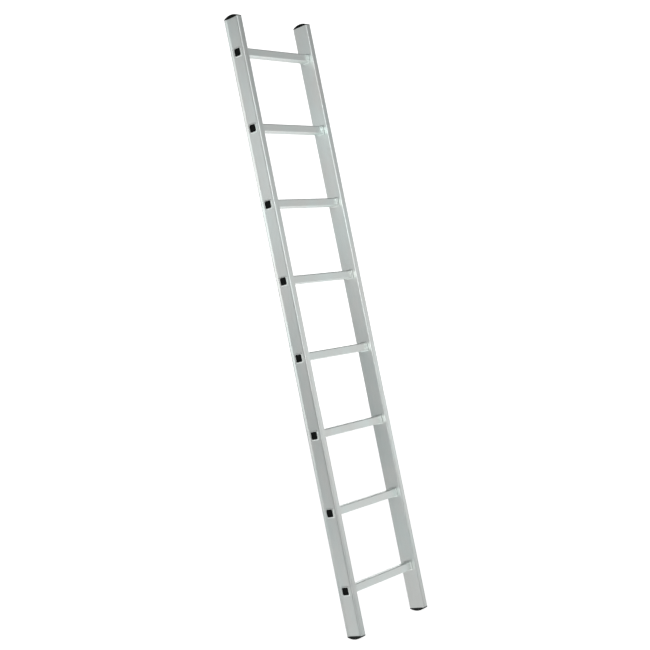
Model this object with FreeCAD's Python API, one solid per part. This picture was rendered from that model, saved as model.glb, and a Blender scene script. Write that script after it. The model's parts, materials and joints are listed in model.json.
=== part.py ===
"""Single-section aluminium ladder with eight rungs, standing upright.

Frame: X runs along the rungs, -Y is the climbing side, +Y is the wall side and +Z is up.
The origin is on the ground, midway between the two feet. Lengths are in millimetres.
Every function below builds its piece in its final place.
"""
import FreeCAD, Part
import math
import os

# Ladder
rung_count = 8
rung_pitch = 280.0
overall_width = 420.0
stile_length = 2247.0
first_rung_above_stile_end = 161.0

# Stile: an extruded box whose outer face dips between two raised edge bands
stile_depth = 66.0
stile_width = 25.0
stile_wall = 1.4
stile_corner_radius = 3.0
edge_band_width = 4.0
face_recess = 2.6
face_slope_run = 7.0
face_slope_radius = 2.0
stile_groove_offset = 6.2
stile_groove_width = 2.2
stile_groove_depth = 0.35

# Rung: an extruded square tube with a ribbed tread, swaged into both stiles
rung_size = 30.0
rung_corner_radius = 4.0
rung_wall = 1.4
rung_bore_radius = 5.2
tread_groove_count = 6
tread_groove_pitch = 3.2
tread_groove_width = 1.5
tread_groove_depth = 0.45
hole_clearance = 0.05
bead_height = 3.0
bead_length = 6.0
bead_edge_radius = 2.7
rim_size = 35.0
rim_thickness = 2.6
rim_edge_radius = 2.5
rim_mouth_radius = 0.5

# Rung plug: a plastic insert that closes each open end of a rung
plug_gap = 0.2
plug_face_recess = 2.4
plug_face_thickness = 3.0
plug_edge_radius = 0.8
plug_dish_size = 17.5
plug_dish_depth = 0.6
plug_skirt_size = 24.6
plug_skirt_wall = 1.6
plug_skirt_length = 14.0
plug_barb_count = 3
plug_barb_pitch = 4.0
plug_barb_thickness = 0.9
plug_barb_gap = 0.1

# End caps and feet: moulded lenses with a hollow leg that fits inside the stile
end_height = 11.5
end_lip_height = 2.6
end_flat_width = 10.0
end_edge_radius = 1.2
leg_gap = 0.3
leg_wall = 2.2
leg_corner_radius = 2.0
cap_leg_length = 30.0
foot_leg_length = 42.0
leg_rib_count = 3
leg_rib_pitch = 9.0
leg_rib_height = 0.2
leg_rib_thickness = 1.6
foot_groove_count = 8
foot_groove_pitch = 6.4
foot_groove_width = 1.8
foot_groove_depth = 1.0

# Heights and places worked out from the sizes above
stile_bottom = end_height
stile_top = stile_bottom + stile_length
first_rung_height = stile_bottom + first_rung_above_stile_end
rung_heights = [first_rung_height + k * rung_pitch for k in range(rung_count)]
stile_centre = overall_width / 2 - stile_width / 2
outer_web = overall_width / 2 - face_recess
inner_web = overall_width / 2 - stile_width
rung_end = outer_web + rim_thickness
bore_size = rung_size - 2 * rung_wall
leg_width = stile_width - face_recess - 2 * (stile_wall + leg_gap)
leg_depth = stile_depth - 2 * (stile_wall + leg_gap)

Z_TO_X = FreeCAD.Rotation(FreeCAD.Vector(1, 1, 1), 120)
ORIGIN = FreeCAD.Vector(0, 0, 0)


def outline(corners):
    """Closed wire through corners (x, y, radius), each rounded by its radius."""
    points = [FreeCAD.Vector(x, y, 0) for x, y, _ in corners]
    starts, middles, ends = [], [], []
    for i, (_, _, radius) in enumerate(corners):
        here = points[i]
        back = (points[i - 1] - here).normalize()
        ahead = (points[(i + 1) % len(points)] - here).normalize()
        half_angle = back.getAngle(ahead) / 2
        run = radius / math.tan(half_angle)
        bisector = (back + ahead).normalize() if radius else back
        starts.append(here + back * run)
        ends.append(here + ahead * run)
        middles.append(here + bisector * (radius / math.sin(half_angle) - radius))
    edges = []
    for i, (_, _, radius) in enumerate(corners):
        if radius:
            edges.append(Part.Arc(starts[i], middles[i], ends[i]).toShape())
        edges.append(Part.LineSegment(ends[i], starts[(i + 1) % len(corners)]).toShape())
    return Part.Wire(edges)


def prism(corners, length):
    """Solid of a rounded outline, from z = 0 up to the length."""
    return Part.Face(outline(corners)).extrude(FreeCAD.Vector(0, 0, length))


def rounded_rectangle(width, depth, radius):
    """Corners of a rectangle centred on the origin, anticlockwise."""
    x, y = width / 2, depth / 2
    return [(-x, -y, radius), (x, -y, radius), (x, y, radius), (-x, y, radius)]


def rounded_bar(width, depth, radius, start, length):
    """Vertical bar of rounded rectangular section that starts at a height."""
    bar = prism(rounded_rectangle(width, depth, radius), length)
    bar.translate(FreeCAD.Vector(0, 0, start))
    return bar


def edges_at_height(shape, height):
    """Edges that lie wholly in the horizontal plane at a height."""
    found = []
    for edge in shape.Edges:
        box = edge.BoundBox
        if abs(box.ZMin - height) < 1e-4 and abs(box.ZMax - height) < 1e-4:
            found.append(edge)
    return found


def lay_along_x(shape):
    """Turns a piece built along Z so that its z runs along X, its x along Y and its y along Z."""
    laid = shape.copy()
    laid.Placement = FreeCAD.Placement(ORIGIN, Z_TO_X).multiply(laid.Placement)
    return laid


def groove(centre, face, width, depth):
    """Corners of a shallow groove cut upwards into a face that runs along x."""
    return [
        (centre - width / 2, face, 0),
        (centre - width / 4, face + depth, 0),
        (centre + width / 4, face + depth, 0),
        (centre + width / 2, face, 0),
    ]


def mirrored(corners):
    """The given lower half of a section, followed by its mirror image above."""
    return corners + [(x, -y, radius) for x, y, radius in reversed(corners)]


def stile_section(inset, grooved):
    """Corners of the right stile's section, moved inwards by the inset."""
    inner = inset - stile_width / 2
    outer = stile_width / 2 - inset
    edge = stile_depth / 2 - inset
    band = stile_depth / 2 - edge_band_width
    corner_radius = stile_corner_radius - inset
    corners = [(inner, -edge, corner_radius)]
    if grooved:
        for centre in (-stile_groove_offset, stile_groove_offset):
            corners += groove(centre, -edge, stile_groove_width, stile_groove_depth)
    corners += [
        (outer, -edge, corner_radius),
        (outer, -band, face_slope_radius / 4),
        (outer - face_recess, face_slope_run - band, face_slope_radius),
    ]
    return mirrored(corners)


def rung_section():
    """Corners of the rung's outer section, with a grooved tread above and below."""
    half = rung_size / 2
    first = -tread_groove_pitch * (tread_groove_count - 1) / 2
    corners = [(-half, -half, rung_corner_radius)]
    for k in range(tread_groove_count):
        centre = first + k * tread_groove_pitch
        corners += groove(centre, -half, tread_groove_width, tread_groove_depth)
    corners.append((half, -half, rung_corner_radius))
    return mirrored(corners)


def on_side(side, shape):
    """The piece itself on the right side, or its mirror image on the left."""
    return shape if side > 0 else shape.mirror(ORIGIN, FreeCAD.Vector(1, 0, 0))


def stile(side):
    """Hollow side rail, with a square hole through both walls at every rung."""
    rail = prism(stile_section(0, True), stile_length)
    rail = rail.cut(prism(stile_section(stile_wall, False), stile_length))
    rail.translate(FreeCAD.Vector(stile_centre, 0, stile_bottom))
    hole_size = rung_size + 2 * hole_clearance
    hole = rounded_bar(hole_size, hole_size, rung_corner_radius, -stile_width, 2 * stile_width)
    hole = lay_along_x(hole)
    holes = []
    for height in rung_heights:
        one = hole.copy()
        one.translate(FreeCAD.Vector(stile_centre, 0, height))
        holes.append(one)
    return on_side(side, rail.cut(Part.makeCompound(holes)))


def bead(centre, swell, edge_radius, length, size, corner):
    """Rounded ring swaged out of a square tube, centred on a place along the tube."""
    start = centre - length / 2
    ring = rounded_bar(size + 2 * swell, size + 2 * swell, corner + swell, start, length)
    rims = edges_at_height(ring, start) + edges_at_height(ring, start + length)
    return ring.makeFillet(edge_radius, rims)


def rung(height):
    """Square tube locked to both stiles by a bead on each side of the inner wall and a rim outside."""
    tube = prism(rung_section(), 2 * outer_web)
    tube.translate(FreeCAD.Vector(0, 0, -outer_web))
    bore = rounded_bar(bore_size, bore_size, rung_bore_radius, -rung_end - 1, 2 * rung_end + 2)
    thin_bead = bead_length - 2 * rung_wall
    bead_places = [inner_web - bead_length / 2, inner_web + stile_wall + bead_length / 2]
    for place in bead_places + [-p for p in bead_places]:
        swelling = bead(
            place, bead_height, bead_edge_radius, bead_length, rung_size, rung_corner_radius
        )
        relief = bead(
            place, bead_height, thin_bead * 0.45, thin_bead, bore_size, rung_bore_radius
        )
        tube = tube.fuse(swelling)
        bore = bore.fuse(relief)
    for side in (-1, 1):
        start = outer_web if side > 0 else -rung_end
        rim = rounded_bar(rim_size, rim_size, rung_corner_radius + 2.5, start, rim_thickness)
        rim = rim.makeFillet(rim_edge_radius, edges_at_height(rim, side * rung_end))
        tube = tube.fuse(rim)
    tube = tube.cut(bore)
    mouths = [e for side in (-1, 1) for e in edges_at_height(tube, side * rung_end)]
    mouths = [e for e in mouths if max(e.BoundBox.XMax, e.BoundBox.YMax) < bore_size / 2 + 0.01]
    mouths = [e for e in mouths if min(e.BoundBox.XMin, e.BoundBox.YMin) > -bore_size / 2 - 0.01]
    tube = lay_along_x(tube.makeFillet(rim_mouth_radius, mouths))
    tube.translate(FreeCAD.Vector(0, 0, height))
    return tube


def rung_plug(side, height):
    """Plastic plug with a dished face and a barbed hollow skirt, pressed into a rung's end."""
    outside = rung_end - plug_face_recess
    inside = outside - plug_face_thickness
    face_size = bore_size - 2 * plug_gap
    corner = rung_bore_radius - plug_gap
    face = rounded_bar(face_size, face_size, corner, inside, plug_face_thickness)
    face = face.makeFillet(plug_edge_radius, edges_at_height(face, outside))
    dish = rounded_bar(
        plug_dish_size, plug_dish_size, corner, outside - plug_dish_depth, plug_dish_depth + 1
    )
    dish = dish.makeFillet(plug_dish_depth * 0.8, edges_at_height(dish, outside - plug_dish_depth))
    plug = face.cut(dish)
    skirt_end = inside - plug_skirt_length
    plug = plug.fuse(
        rounded_bar(plug_skirt_size, plug_skirt_size, corner, skirt_end, plug_skirt_length)
    )
    barb_size = bore_size - 2 * plug_barb_gap
    for k in range(plug_barb_count):
        start = skirt_end + 1 + k * plug_barb_pitch
        barb = rounded_bar(barb_size, barb_size, rung_bore_radius, start, plug_barb_thickness)
        plug = plug.fuse(barb)
    hollow_size = plug_skirt_size - 2 * plug_skirt_wall
    hollow = rounded_bar(hollow_size, hollow_size, 1.0, skirt_end - 1, plug_skirt_length + 1)
    plug = lay_along_x(plug.cut(hollow))
    plug.translate(FreeCAD.Vector(0, 0, height))
    return on_side(side, plug)


def lens():
    """Moulded end block: flat below, two shallow arcs above with a small flat between them."""
    half = stile_depth / 2
    flat = end_flat_width / 2
    rise = end_height - end_lip_height
    radius = (half * half + rise * rise) / (2 * rise)
    middle_y = (half + flat) / 2
    middle_z = end_height - radius + math.sqrt(radius * radius - middle_y * middle_y)
    right = [
        FreeCAD.Vector(half, end_lip_height, 0),
        FreeCAD.Vector(middle_y, middle_z, 0),
        FreeCAD.Vector(flat, end_height, 0),
    ]
    left = [FreeCAD.Vector(-p.x, p.y, 0) for p in reversed(right)]
    low_left = FreeCAD.Vector(-half, 0, 0)
    low_right = FreeCAD.Vector(half, 0, 0)
    side_outline = Part.Wire(
        [
            Part.LineSegment(low_left, low_right).toShape(),
            Part.LineSegment(low_right, right[0]).toShape(),
            Part.Arc(*right).toShape(),
            Part.LineSegment(right[2], left[0]).toShape(),
            Part.Arc(*left).toShape(),
            Part.LineSegment(left[2], low_left).toShape(),
        ]
    )
    block = Part.Face(side_outline).extrude(FreeCAD.Vector(0, 0, stile_width))
    block.translate(FreeCAD.Vector(0, 0, -stile_width / 2))
    block = lay_along_x(block)
    footprint = rounded_bar(stile_width, stile_depth, stile_corner_radius, -1, end_height + 2)
    block = block.common(footprint)
    crown = [e for e in block.Edges if e.BoundBox.ZMin > end_lip_height - 1e-3]
    creases = [e for e in crown if e.BoundBox.YLength < 1e-3 and e.BoundBox.YMax < half / 2]
    creases = [e for e in creases if e.BoundBox.YMin > -half / 2]
    rim = [e for e in crown if not any(e.isSame(crease) for crease in creases)]
    return block.makeFillet(end_edge_radius, rim)


def leg(length):
    """Hollow ribbed leg below z = 0 that grips the inside of a right stile."""
    post = rounded_bar(leg_width, leg_depth, leg_corner_radius, -length, length)
    post = post.makeChamfer(1.0, edges_at_height(post, -length))
    rib_width = leg_width + 2 * leg_rib_height
    rib_depth = leg_depth + 2 * leg_rib_height
    for k in range(leg_rib_count):
        start = -length + 4 + k * leg_rib_pitch
        rib = rounded_bar(rib_width, rib_depth, leg_corner_radius, start, leg_rib_thickness)
        post = post.fuse(rib)
    hollow_width = leg_width - 2 * leg_wall
    hollow_depth = leg_depth - 2 * leg_wall
    post = post.cut(rounded_bar(hollow_width, hollow_depth, 1.0, -length - 1, length + 1))
    post.translate(FreeCAD.Vector(-face_recess / 2, 0, 0))
    return post


def top_cap(side):
    """Smooth lens that closes the top of a stile."""
    cap = lens().fuse(leg(cap_leg_length))
    cap.translate(FreeCAD.Vector(stile_centre, 0, stile_top))
    return on_side(side, cap)


def foot(side):
    """Rocker foot: the same lens upside down, with shallow grip grooves across its sole."""
    sole = lens()
    rise = end_height - end_lip_height
    radius = ((stile_depth / 2) ** 2 + rise * rise) / (2 * rise)
    first = -foot_groove_pitch * (foot_groove_count - 1) / 2
    cuts = []
    for k in range(foot_groove_count):
        middle = first + k * foot_groove_pitch
        crest = end_height - radius + math.sqrt(radius * radius - middle * middle)
        corner = FreeCAD.Vector(
            -stile_width, middle - foot_groove_width / 2, crest - foot_groove_depth
        )
        cuts.append(Part.makeBox(2 * stile_width, foot_groove_width, end_height, corner))
    shoe = sole.cut(Part.makeCompound(cuts))
    shoe.rotate(ORIGIN, FreeCAD.Vector(0, 1, 0), 180)
    post = leg(foot_leg_length)
    shoe = shoe.fuse(post.mirror(ORIGIN, FreeCAD.Vector(0, 0, 1)))
    shoe.translate(FreeCAD.Vector(stile_centre, 0, stile_bottom))
    return on_side(side, shoe)


def save(name, shape):
    """Writes one clean solid to its own STEP file."""
    clean = shape.removeSplitter()
    solid = clean.Solids[0]
    if len(clean.Solids) != 1 or not solid.isValid():
        raise RuntimeError(f"{name}: {len(clean.Solids)} solids, valid {solid.isValid()}")
    solid.exportStep(f"parts/{name}.step")
    print(f"{name}: {solid.Volume / 1000:.1f} cm3")


def build():
    """Builds every piece of the ladder and writes it out."""
    os.makedirs("parts", exist_ok=True)
    for word, side in (("left", -1), ("right", 1)):
        save(f"stile_{word}", stile(side))
        save(f"top_cap_{word}", top_cap(side))
        save(f"foot_{word}", foot(side))
    for number, height in enumerate(rung_heights, start=1):
        save(f"rung_{number}", rung(height))
        for word, side in (("left", -1), ("right", 1)):
            save(f"rung_{number}_plug_{word}", rung_plug(side, height))


build()
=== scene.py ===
"""Studio picture of a straight aluminium ladder: materials, light, floor and camera."""
import json
import math

import bpy
from mathutils import Euler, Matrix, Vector


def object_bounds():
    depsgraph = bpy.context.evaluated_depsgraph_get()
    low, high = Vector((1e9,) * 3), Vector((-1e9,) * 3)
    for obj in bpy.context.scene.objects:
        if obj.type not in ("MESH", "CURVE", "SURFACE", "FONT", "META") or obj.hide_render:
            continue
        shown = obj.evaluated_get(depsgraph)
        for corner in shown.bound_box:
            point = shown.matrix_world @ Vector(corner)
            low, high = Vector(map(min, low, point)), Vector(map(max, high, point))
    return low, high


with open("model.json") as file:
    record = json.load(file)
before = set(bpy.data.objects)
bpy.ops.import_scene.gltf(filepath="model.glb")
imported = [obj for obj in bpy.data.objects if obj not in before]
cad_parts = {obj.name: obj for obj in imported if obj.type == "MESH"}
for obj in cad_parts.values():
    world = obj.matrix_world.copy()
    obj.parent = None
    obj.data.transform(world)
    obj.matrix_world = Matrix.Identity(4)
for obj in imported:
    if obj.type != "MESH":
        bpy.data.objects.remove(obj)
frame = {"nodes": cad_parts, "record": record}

cad_low, cad_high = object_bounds()
scene = bpy.context.scene


# ---------- small helpers for node trees ----------

class Shader:
    """A material's node tree, with short calls for the nodes that the finishes below share."""

    def __init__(self, name):
        self.material = bpy.data.materials.new(name)
        self.material.use_nodes = True
        self.tree = self.material.node_tree
        self.surface = self.tree.nodes["Principled BSDF"]
        self.place = self.tree.nodes.new("ShaderNodeTexCoord").outputs["Object"]

    def link(self, source, target):
        self.tree.links.new(source, target)

    def stretched(self, scale):
        """The piece's own coordinates, scaled separately along X, Y and Z."""
        node = self.tree.nodes.new("ShaderNodeMapping")
        node.inputs["Scale"].default_value = scale
        self.link(self.place, node.inputs["Vector"])
        return node.outputs["Vector"]

    def noise(self, scale, detail=2.0, roughness=0.5):
        """Noise value between 0 and 1; scale is in cycles per metre along X, Y and Z."""
        node = self.tree.nodes.new("ShaderNodeTexNoise")
        node.inputs["Scale"].default_value = 1.0
        node.inputs["Detail"].default_value = detail
        node.inputs["Roughness"].default_value = roughness
        self.link(self.stretched(scale), node.inputs["Vector"])
        return node.outputs["Fac"]

    def span(self, value, low, high, to_low, to_high):
        """Maps a value from one range to another, held at the ends."""
        node = self.tree.nodes.new("ShaderNodeMapRange")
        node.inputs["From Min"].default_value = low
        node.inputs["From Max"].default_value = high
        node.inputs["To Min"].default_value = to_low
        node.inputs["To Max"].default_value = to_high
        self.link(value, node.inputs["Value"])
        return node.outputs["Result"]

    def math(self, operation, first, second):
        node = self.tree.nodes.new("ShaderNodeMath")
        node.operation = operation
        for socket, value in zip(node.inputs, (first, second)):
            if isinstance(value, float):
                socket.default_value = value
            else:
                self.link(value, socket)
        return node.outputs["Value"]

    def blend(self, factor, first, second):
        """Mixes two colours; either may be a node's output."""
        node = self.tree.nodes.new("ShaderNodeMix")
        node.data_type = "RGBA"
        self.link(factor, node.inputs["Factor"])
        for name, value in (("A", first), ("B", second)):
            socket = next(s for s in node.inputs if s.name == name and s.type == "RGBA")
            if isinstance(value, tuple):
                socket.default_value = (*value, 1.0)
            else:
                self.link(value, socket)
        return next(s for s in node.outputs if s.type == "RGBA")

    def bump(self, height, depth, strength):
        """Bump of a real depth in metres."""
        node = self.tree.nodes.new("ShaderNodeBump")
        node.inputs["Strength"].default_value = strength
        node.inputs["Distance"].default_value = depth
        self.link(height, node.inputs["Height"])
        self.link(node.outputs["Normal"], self.surface.inputs["Normal"])


# ---------- finishes ----------

# Drawing lines blur what the metal mirrors across them more than along them. The small slant keeps
# their direction defined on faces that are square to them.
LINE_STRETCH = 0.7
LINE_SLANT = 0.04
ALUMINIUM_TONE = (0.80, 0.825, 0.812)
BLACK_TONE = (0.003, 0.004, 0.0035)
RUBBER_TONE = (0.012, 0.014, 0.013)
ALONG_X = 0
ALONG_Z = 2


def along(axis, length_scale, cross_scale):
    """Noise scale for streaks that run along one axis."""
    return tuple(length_scale if i == axis else cross_scale for i in range(3))


def aluminium(name, axis, tone):
    """Satin extruded aluminium: fine drawing lines along one axis, soft stains and scuffs."""
    s = Shader(name)
    fine_lines = s.noise(along(axis, 1.5, 2600.0), detail=2.0)
    broad_lines = s.noise(along(axis, 0.8, 420.0), detail=3.0)
    stain = s.noise((9.0, 9.0, 5.0), detail=4.0, roughness=0.6)
    scuff = s.noise(along(axis, 60.0, 900.0), detail=3.0, roughness=0.65)
    scuffed = s.span(scuff, 0.62, 0.72, 0.0, 1.0)
    cool = tuple(c * k for c, k in zip(tone, (0.955, 1.0, 0.99)))
    warm = tuple(c * k for c, k in zip(tone, (1.0, 0.99, 0.975)))
    base = s.blend(s.span(stain, 0.38, 0.62, 0.0, 1.0), cool, warm)
    lined = s.blend(s.span(broad_lines, 0.3, 0.7, 0.0, 0.10), base, tuple(c * 0.82 for c in tone))
    s.link(lined, s.surface.inputs["Base Color"])
    s.surface.inputs["Metallic"].default_value = 1.0
    rough = s.math("ADD", s.span(fine_lines, 0.3, 0.7, 0.30, 0.40), s.span(stain, 0.3, 0.7, -0.02, 0.05))
    rough = s.math("ADD", rough, s.math("MULTIPLY", scuffed, 0.08))
    s.link(rough, s.surface.inputs["Roughness"])
    s.surface.inputs["Anisotropic"].default_value = LINE_STRETCH
    s.surface.inputs["Anisotropic Rotation"].default_value = 0.25
    lines_run = s.tree.nodes.new("ShaderNodeCombineXYZ")
    for i, letter in enumerate("XYZ"):
        lines_run.inputs[letter].default_value = 1.0 if i == axis else LINE_SLANT
    s.link(lines_run.outputs["Vector"], s.surface.inputs["Tangent"])
    relief = s.math("ADD", s.math("MULTIPLY", fine_lines, 0.5), s.math("MULTIPLY", broad_lines, 0.5))
    relief = s.math("SUBTRACT", relief, s.math("MULTIPLY", scuffed, 0.3))
    s.bump(relief, 0.00004, 0.35)
    return s.material


def moulded(name, tone, roughness, grain_depth):
    """Black moulded plastic or rubber with a fine spark-eroded grain and dusty, rubbed patches."""
    s = Shader(name)
    grain = s.noise((2200.0, 2200.0, 2200.0), detail=2.0)
    patch = s.noise((55.0, 55.0, 55.0), detail=4.0, roughness=0.6)
    dusty = tuple(c * 2.0 + 0.002 for c in tone)
    s.link(s.blend(s.span(patch, 0.42, 0.72, 0.0, 0.55), tone, dusty), s.surface.inputs["Base Color"])
    s.link(s.span(patch, 0.3, 0.7, roughness - 0.06, roughness + 0.08), s.surface.inputs["Roughness"])
    s.surface.inputs["Specular IOR Level"].default_value = 0.08
    s.bump(grain, grain_depth, 0.5)
    return s.material


finishes = {
    "stile_aluminium": aluminium("stile_aluminium", ALONG_Z, ALUMINIUM_TONE),
    "rung_aluminium": aluminium("rung_aluminium", ALONG_X, ALUMINIUM_TONE),
    "plug_plastic": moulded("plug_plastic", BLACK_TONE, 0.46, 0.00006),
    "cap_plastic": moulded("cap_plastic", BLACK_TONE, 0.40, 0.00006),
    "foot_rubber": moulded("foot_rubber", RUBBER_TONE, 0.55, 0.00008),
}
for row in frame["record"]["subparts"]:
    node = frame["nodes"][row["node"]]
    node.data.materials.clear()
    node.data.materials.append(finishes[row["material_slot"]])


# ---------- floor ----------

FLOOR_RADIUS = 40.0
FLOOR_ALBEDO = 0.45
FLOOR_GLOW = 0.93


def studio_floor():
    """Pale floor that glows. The metal mirrors the room through it, and light from below passes it."""
    paint = Shader("floor_paint")
    paint.surface.inputs["Base Color"].default_value = (*[FLOOR_ALBEDO] * 3, 1.0)
    paint.surface.inputs["Roughness"].default_value = 0.9
    paint.surface.inputs["Specular IOR Level"].default_value = 0.0
    paint.surface.inputs["Emission Color"].default_value = (1.0, 1.0, 1.0, 1.0)
    paint.surface.inputs["Emission Strength"].default_value = FLOOR_GLOW
    bpy.ops.mesh.primitive_circle_add(
        vertices=128, radius=FLOOR_RADIUS, fill_type="NGON", location=(0, 0, cad_low.z)
    )
    floor = bpy.context.object
    floor.name = "studio_floor"
    floor.data.materials.append(paint.material)
    floor.visible_glossy = False
    floor.visible_shadow = False


studio_floor()


# ---------- light ----------

# The room is what the metal mirrors. Each soft light is a panel of it: its bearing from +Y towards
# +X, its height above the horizon, how far it fades out sideways and up and down (all in degrees),
# and its brightness. The panels and levels began as a least-squares fit of test renders to the
# brightness of the ladder's faces on the photograph. They were rounded, some were changed, and
# all but the ceiling were then scaled together to suit a lighter metal.
ROOM_TINT = (0.99, 1.0, 1.005)
ROOM_LEVEL = 0.15
FLOOR_BOUNCE = 1.1
CEILING_LEVEL = 0.15
WHITE_LEVEL = 1.3
PANELS = [
    ("behind_camera", 246, 7, 32, 17, 3.1),
    ("backdrop", 57, 17, 34, 14, 2.9),
    ("right_low", 93, -3, 59, 14, 1.4),
    ("front_band", 182, 8, 90, 16, 0.56),
    ("far_left", 322, 9, 30, 12, 1.15),
    ("left_low", 315, -10, 29, 9, 0.78),
]


def towards(bearing):
    """Level unit vector of a compass bearing, in degrees."""
    return Vector((math.sin(math.radians(bearing)), math.cos(math.radians(bearing)), 0.0))


def sines(*heights):
    """Upward part of the directions at some heights above the horizon, in degrees."""
    return [math.sin(math.radians(h)) for h in heights]


class Room:
    """The world's node tree: an even room with soft bright patches, and plain white to the camera."""

    def __init__(self):
        scene.world = bpy.data.worlds.new("studio")
        scene.world.use_nodes = True
        self.tree = scene.world.node_tree
        direction = self.node("ShaderNodeTexCoord").outputs["Generated"]
        split = self.node("ShaderNodeSeparateXYZ")
        self.tree.links.new(direction, split.inputs["Vector"])
        self.upward = split.outputs["Z"]
        flat = self.node("ShaderNodeVectorMath", operation="MULTIPLY")
        flat.inputs[1].default_value = (1.0, 1.0, 0.0)
        self.tree.links.new(direction, flat.inputs[0])
        level = self.node("ShaderNodeVectorMath", operation="NORMALIZE")
        self.tree.links.new(flat.outputs["Vector"], level.inputs[0])
        self.level_direction = level.outputs["Vector"]

    def node(self, kind, **settings):
        node = self.tree.nodes.new(kind)
        for name, value in settings.items():
            setattr(node, name, value)
        return node

    def ramp(self, value, low, high, to_low, to_high):
        """Smooth step of a socket's value from one level to another."""
        fall = self.node("ShaderNodeMapRange", interpolation_type="SMOOTHSTEP")
        fall.inputs["From Min"].default_value = low
        fall.inputs["From Max"].default_value = high
        fall.inputs["To Min"].default_value = to_low
        fall.inputs["To Max"].default_value = to_high
        self.tree.links.new(value, fall.inputs["Value"])
        return fall.outputs["Result"]

    def math(self, operation, first, second):
        node = self.node("ShaderNodeMath", operation=operation)
        for socket, value in zip(node.inputs, (first, second)):
            if isinstance(value, float):
                socket.default_value = value
            else:
                self.tree.links.new(value, socket)
        return node.outputs["Value"]

    def panel(self, bearing, height, width, span, level):
        """Brightness added by one soft panel, as a socket."""
        facing = self.node("ShaderNodeVectorMath", operation="DOT_PRODUCT")
        facing.inputs[1].default_value = towards(bearing)
        self.tree.links.new(self.level_direction, facing.inputs[0])
        across = self.ramp(facing.outputs["Value"], math.cos(math.radians(width)), 1.0, 0.0, level)
        off = self.math("SUBTRACT", self.upward, math.sin(math.radians(height)))
        off = self.math("ABSOLUTE", off, 0.0)
        up = self.ramp(off, 0.0, math.sin(math.radians(span)), 1.0, 0.0)
        return self.math("MULTIPLY", across, up)

    def total(self, base, sockets):
        """Sum of a base level and some sockets, never below black."""
        value = base
        for socket in sockets:
            value = self.math("ADD", value, socket)
        return self.math("MAXIMUM", value, 0.0)

    def finish(self, level):
        """Lights the scene with the room, and shows the camera plain white."""
        room = self.tree.nodes["Background"]
        room.inputs["Color"].default_value = (*ROOM_TINT, 1.0)
        self.tree.links.new(level, room.inputs["Strength"])
        white = self.tree.nodes.new("ShaderNodeBackground")
        white.inputs["Color"].default_value = (1.0, 1.0, 1.0, 1.0)
        white.inputs["Strength"].default_value = WHITE_LEVEL
        rays = self.tree.nodes.new("ShaderNodeLightPath")
        mix = self.tree.nodes.new("ShaderNodeMixShader")
        self.tree.links.new(rays.outputs["Is Camera Ray"], mix.inputs["Fac"])
        self.tree.links.new(room.outputs["Background"], mix.inputs[1])
        self.tree.links.new(white.outputs["Background"], mix.inputs[2])
        output = self.tree.nodes["World Output"]
        self.tree.links.new(mix.outputs["Shader"], output.inputs["Surface"])


room = Room()
lights = [room.panel(*settings) for _, *settings in PANELS]
lights.append(room.ramp(room.upward, *sines(-40, -5), FLOOR_BOUNCE, 0.0))
lights.append(room.ramp(room.upward, *sines(15, 45), 0.0, CEILING_LEVEL))
room.finish(room.total(ROOM_LEVEL, lights))
scene.view_settings.view_transform = "Standard"


# ---------- camera ----------

# The lens, place and angles began as a camera fit to points measured on the photograph. The rise is
# less than the photograph's own, because more of it crops the feet in the side views.
LENS = 73.8
CAMERA_PLACE = Vector((-3.861, -3.021, 0.917))
CAMERA_YAW = math.radians(51.735)
CAMERA_PITCH = math.radians(2.064)
CAMERA_ROLL = math.radians(11.37)
CAMERA_RISE = 0.01

camera_data = bpy.data.cameras.new("camera")
camera_data.lens = LENS
camera_data.sensor_width = 36.0
camera_data.shift_y = CAMERA_RISE
camera = bpy.data.objects.new("camera", camera_data)
scene.collection.objects.link(camera)
camera.location = CAMERA_PLACE
aim = Euler((math.radians(90) + CAMERA_PITCH, 0, -CAMERA_YAW), "XYZ").to_matrix()
roll = Euler((0, 0, -CAMERA_ROLL), "XYZ").to_matrix()
camera.rotation_euler = (aim @ roll).to_euler()
scene.camera = camera
